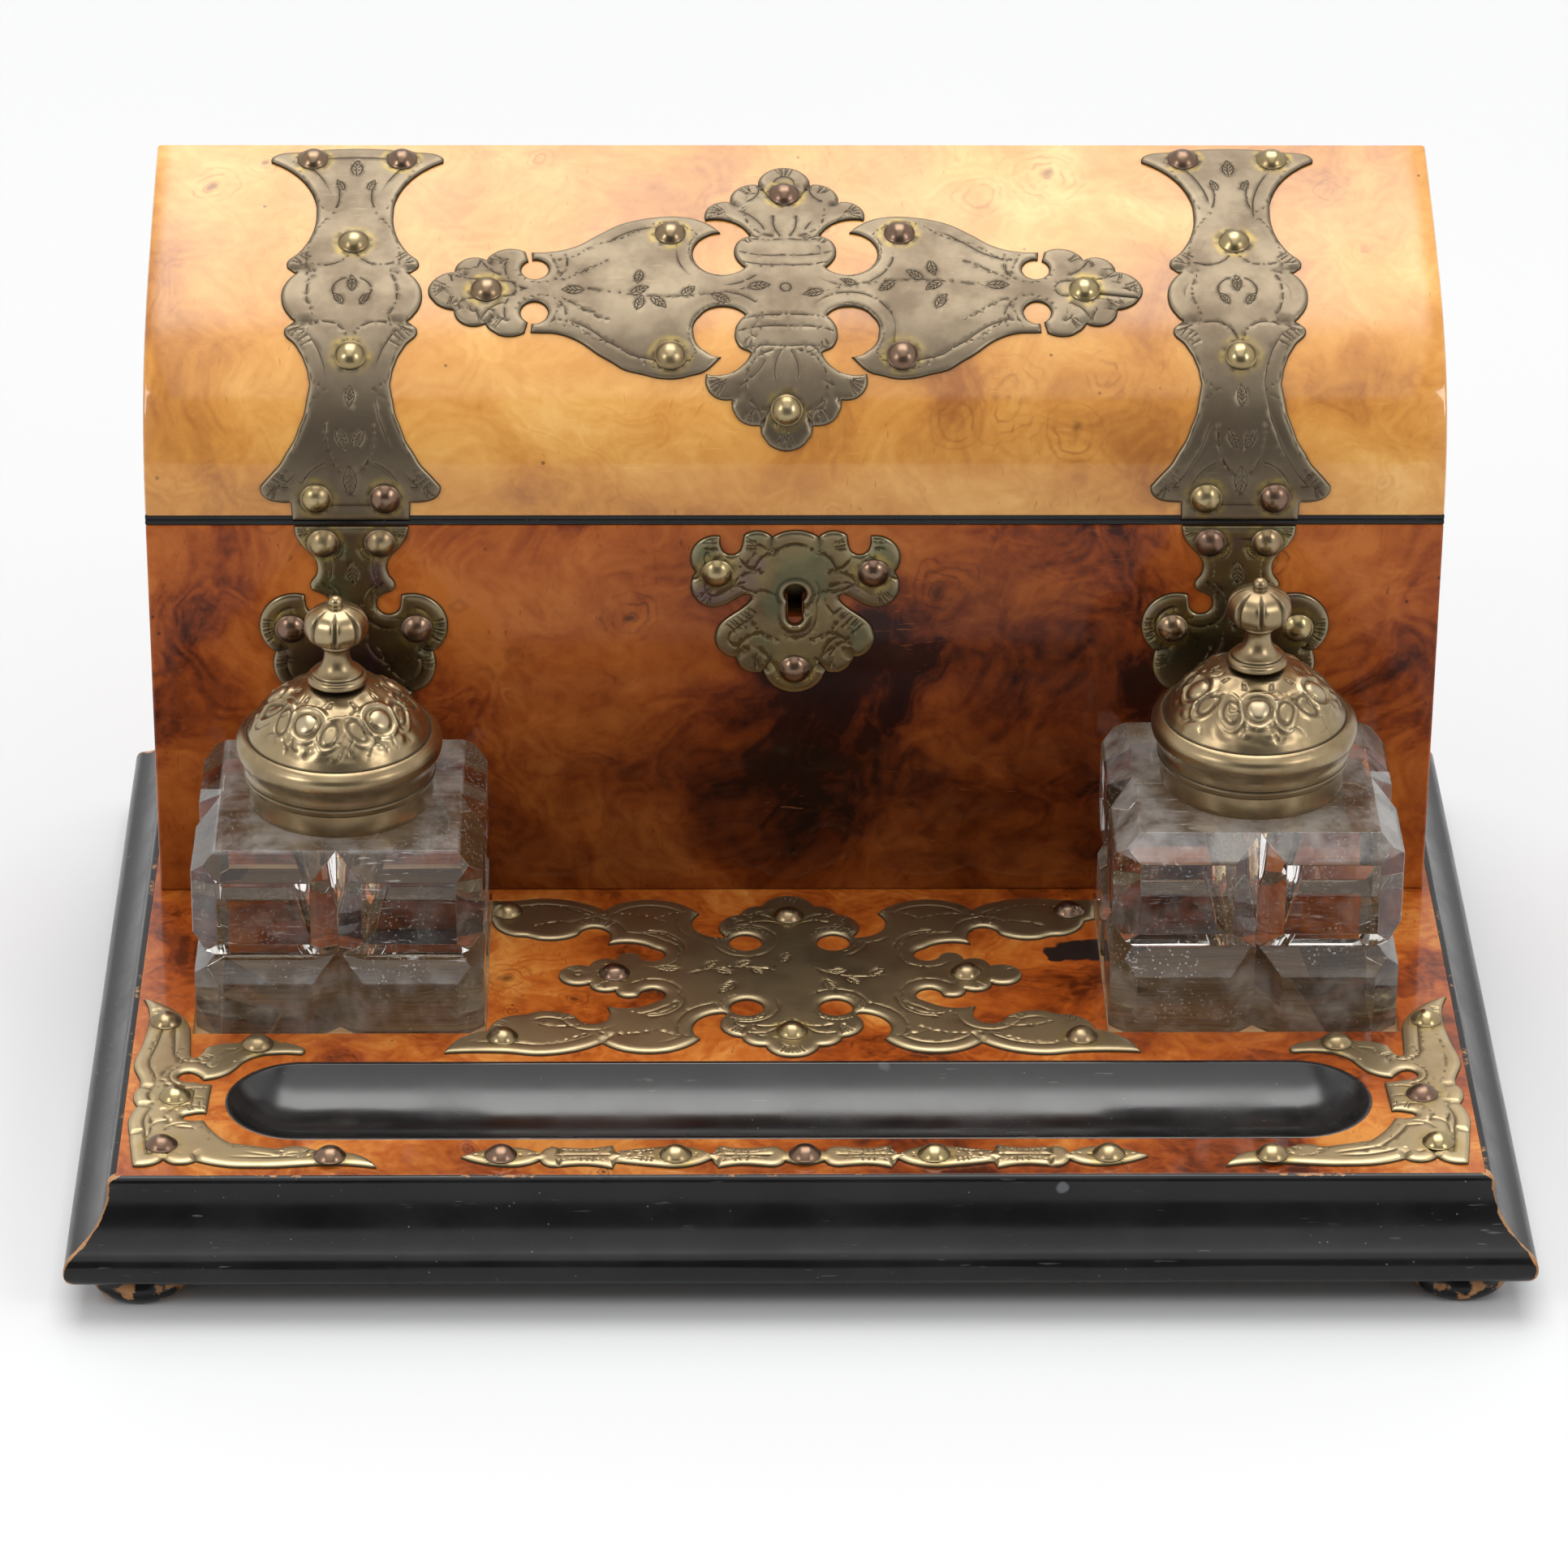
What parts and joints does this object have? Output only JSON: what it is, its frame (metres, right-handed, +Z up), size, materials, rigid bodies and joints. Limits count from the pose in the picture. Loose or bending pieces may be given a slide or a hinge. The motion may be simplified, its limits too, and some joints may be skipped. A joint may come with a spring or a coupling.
{
  "type": "desk stand",
  "caption": "Brass-mounted walnut desk stand: pen tray and lift-out cut-glass inkwells with hinged lids on a moulded base, before a locking stationery casket with a domed lid.",
  "frame": {"origin": "on the table, under the middle of the base", "axes": "+X to the right of the writer, +Y to the rear, +Z up"},
  "size_m": [0.33, 0.242, 0.1921],
  "materials": {
    "deck_walnut": "French-polished burr walnut, orange brown, with scratches",
    "casket_walnut": "French-polished burr walnut, dark red brown",
    "lid_walnut": "French-polished burr walnut, faded to honey",
    "ebonised_wood": "ebonised and polished, worn orange at the edges",
    "oak": "plain oak, oiled",
    "plain_walnut": "plain walnut, satin",
    "cut_glass": "cut and polished lead glass",
    "plate_brass": "engraved brass with an olive-brown patina",
    "nail_brass": "domed brass, rubbed bright on top",
    "well_brass": "stamped brass, dull gold with dark recesses",
    "hinge_brass": "plain brass, lightly tarnished",
    "steel": "plain steel, dull"
  },
  "bodies": {
    "stand": {"base_board": "oak", "deck_board": "deck_walnut", "pen_tray": "ebonised_wood", "moulding_front": "ebonised_wood", "moulding_back": "ebonised_wood", "moulding_left": "ebonised_wood", "moulding_right": "ebonised_wood", "bun_feet": "ebonised_wood", "foot_screws": "steel", "deck_cartouche": "plate_brass", "corner_mount_left": "plate_brass", "corner_mount_right": "plate_brass", "front_strip": "plate_brass", "deck_nails": "nail_brass", "casket_front": "casket_walnut", "casket_left": "casket_walnut", "casket_right": "casket_walnut", "casket_back": "casket_walnut", "casket_floor": "oak", "casket_edging": "ebonised_wood", "casket_screws": "steel", "escutcheon": "plate_brass", "body_strap_left": "plate_brass", "body_strap_right": "plate_brass", "body_nails": "nail_brass", "dividers": "plain_walnut", "lock_case": "hinge_brass", "lock_screws": "steel", "hinge_body_leaf_left": "hinge_brass", "hinge_body_leaf_right": "hinge_brass", "hinge_body_screws": "steel", "hinge_pins": "steel"},
    "lid": {"link_plate": "hinge_brass", "link_screws": "steel", "hinge_lid_leaf_left": "hinge_brass", "hinge_lid_leaf_right": "hinge_brass", "hinge_lid_screws": "steel", "lid_shell": "lid_walnut", "lid_end_left": "lid_walnut", "lid_end_right": "lid_walnut", "lid_back": "lid_walnut", "lid_edging": "ebonised_wood", "lid_strap_left": "plate_brass", "lid_strap_right": "plate_brass", "lid_cartouche": "plate_brass", "lid_nails": "nail_brass"},
    "lock_bolt": {"lock_bolt": "steel"},
    "inkwell_left": {"ink_glass_left": "cut_glass", "ink_collar_left": "well_brass", "ink_hinge_pin_left": "steel"},
    "inkwell_left_lid": {"ink_lid_ring_left": "well_brass", "ink_dome_left": "well_brass", "ink_knob_left": "well_brass"},
    "inkwell_right": {"ink_glass_right": "cut_glass", "ink_collar_right": "well_brass", "ink_hinge_pin_right": "steel"},
    "inkwell_right_lid": {"ink_lid_ring_right": "well_brass", "ink_dome_right": "well_brass", "ink_knob_right": "well_brass"}
  },
  "joints": [
    {"name": "casket_lid_hinge", "type": "hinge", "parent": "stand", "child": "lid", "pos_m": [0, 0.1002, 0.1295], "axis": [-1, 0, 0], "range_deg": [0, 100]},
    {"name": "lock_bolt_slide", "type": "slide", "parent": "stand", "child": "lock_bolt", "axis": [1, 0, 0], "range_m": [0, 0.004]},
    {"name": "inkwell_left_lift", "type": "slide", "parent": "stand", "child": "inkwell_left", "axis": [0, 0, 1], "range_m": [0, 0.02]},
    {"name": "inkwell_left_lid_hinge", "type": "hinge", "parent": "inkwell_left", "child": "inkwell_left_lid", "pos_m": [-0.106, 0.0108, 0.0831], "axis": [-1, 0, 0], "range_deg": [0, 30]},
    {"name": "inkwell_right_lift", "type": "slide", "parent": "stand", "child": "inkwell_right", "axis": [0, 0, 1], "range_m": [0, 0.02]},
    {"name": "inkwell_right_lid_hinge", "type": "hinge", "parent": "inkwell_right", "child": "inkwell_right_lid", "pos_m": [0.106, 0.0108, 0.0875], "axis": [-1, 0, 0], "range_deg": [0, 30]}
  ]
}
